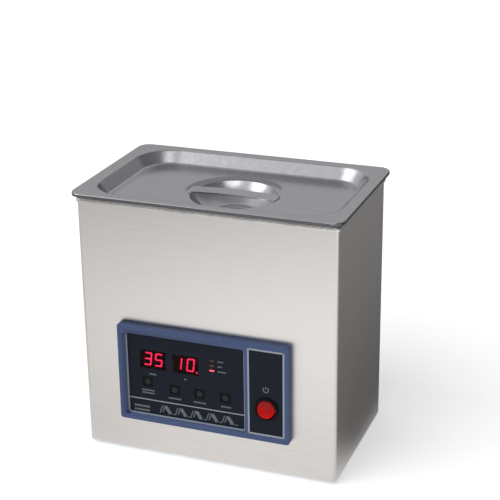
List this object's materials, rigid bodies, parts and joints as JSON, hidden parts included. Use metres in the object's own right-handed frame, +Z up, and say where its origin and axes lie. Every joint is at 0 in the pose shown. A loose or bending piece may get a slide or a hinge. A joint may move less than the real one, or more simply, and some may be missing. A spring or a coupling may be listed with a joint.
{
  "type": "heated ultrasonic bath",
  "caption": "Bench-top heated bath in a rectangular stainless case, with a drawn tank, a lift-off pan lid with a strap handle, and a sunk front control panel.",
  "frame": {"origin": "centre of the footprint, on the surface that the feet stand on", "axes": "+Z up, the control panel faces -Y, +X is to the right seen from the front"},
  "size_m": [0.265, 0.1716, 0.264],
  "materials": {
    "brushed_stainless": "satin, horizontal brushing",
    "galvanised_steel": "matt galvanised",
    "zinc_screws": "bright zinc plated",
    "black_rubber": "matt moulded",
    "tank_stainless": "drawn, satin",
    "lid_stainless": "pressed, satin",
    "blue_plastic": "moulded, fine texture",
    "navy_film": "printed film",
    "smoked_window": "smoked red window",
    "green_board": "solder mask",
    "display_black": "moulded",
    "lamp_red": "diffused",
    "black_plastic": "moulded",
    "button_grey": "moulded",
    "rocker_red": "moulded, polished",
    "brass_plated": "plated",
    "fuse_glass": "clear tube",
    "aluminium": "turned or extruded",
    "piezo_ceramic": "fired, silvered faces",
    "plain_steel": "turned",
    "silicone_orange": "silicone mat",
    "ferrite": "ferrite",
    "copper_winding": "enamelled copper wire",
    "capacitor_sleeve": "shrink sleeve",
    "relay_blue": "moulded",
    "terminal_green": "moulded",
    "ribbon_grey": "flat cable"
  },
  "bodies": {
    "case": {"back_masses": "plain_steel", "base_plate": "galvanised_steel", "board_posts": "brass_plated", "board_screws": "zinc_screws", "cable_plugs": "black_plastic", "capacitors": "capacitor_sleeve", "case_wrap": "brushed_stainless", "control_board": "green_board", "digit_display_left": "display_black", "digit_display_right": "display_black", "display_overlay": "navy_film", "display_windows": "smoked_window", "electrodes": "brass_plated", "feet": "black_rubber", "foot_nuts": "zinc_screws", "foot_screws": "zinc_screws", "generator_board": "green_board", "heating_mat": "silicone_orange", "heatsink": "aluminium", "indicator_lamps": "lamp_red", "inlet_blades": "brass_plated", "inlet_pins": "brass_plated", "inlet_screws": "zinc_screws", "key_housings": "black_plastic", "mains_inlet": "black_plastic", "panel_bezel": "blue_plastic", "piezo_rings": "piezo_ceramic", "post_screws": "zinc_screws", "power_overlay": "navy_film", "power_transistors": "black_plastic", "rear_panel": "brushed_stainless", "rear_screws": "zinc_screws", "relay": "relay_blue", "ribbon_cable": "ribbon_grey", "switch_frame": "black_plastic", "tank": "tank_stainless", "tank_gasket": "black_rubber", "temperature_probe": "plain_steel", "terminal_block": "terminal_green", "thermal_cutout": "black_plastic", "transducer_bolts": "plain_steel", "transducer_horns": "aluminium", "transformer_core": "ferrite", "transformer_winding": "copper_winding"},
    "lid": {"lid_pan": "lid_stainless", "lid_strap": "lid_stainless"},
    "mode_key": {"mode_button": "button_grey"},
    "heat_key": {"heat_button": "button_grey"},
    "timer_key": {"timer_button": "button_grey"},
    "start_key": {"start_button": "button_grey"},
    "rocker": {"power_rocker": "rocker_red"},
    "fuse_tray": {"fuse_drawer": "black_plastic", "fuse": "fuse_glass"}
  },
  "joints": [
    {"name": "lid_lift", "type": "slide", "parent": "case", "child": "lid", "axis": [0, 0, 1], "range_m": [0, 0.06]},
    {"name": "mode_press", "type": "slide", "parent": "case", "child": "mode_key", "axis": [0, 1, 0], "range_m": [0, 0.0008], "stiffness_N_per_m": 800, "springref_m": -0.001},
    {"name": "heat_press", "type": "slide", "parent": "case", "child": "heat_key", "axis": [0, 1, 0], "range_m": [0, 0.0008], "stiffness_N_per_m": 800, "springref_m": -0.001},
    {"name": "timer_press", "type": "slide", "parent": "case", "child": "timer_key", "axis": [0, 1, 0], "range_m": [0, 0.0008], "stiffness_N_per_m": 800, "springref_m": -0.001},
    {"name": "start_press", "type": "slide", "parent": "case", "child": "start_key", "axis": [0, 1, 0], "range_m": [0, 0.0008], "stiffness_N_per_m": 800, "springref_m": -0.001},
    {"name": "power_rock", "type": "hinge", "parent": "case", "child": "rocker", "pos_m": [0.0618, -0.0825, 0.073], "axis": [1, 0, 0], "range_deg": [0, 16]},
    {"name": "fuse_drawer_slide", "type": "slide", "parent": "case", "child": "fuse_tray", "axis": [0, 1, 0], "range_m": [0, 0.012]}
  ]
}
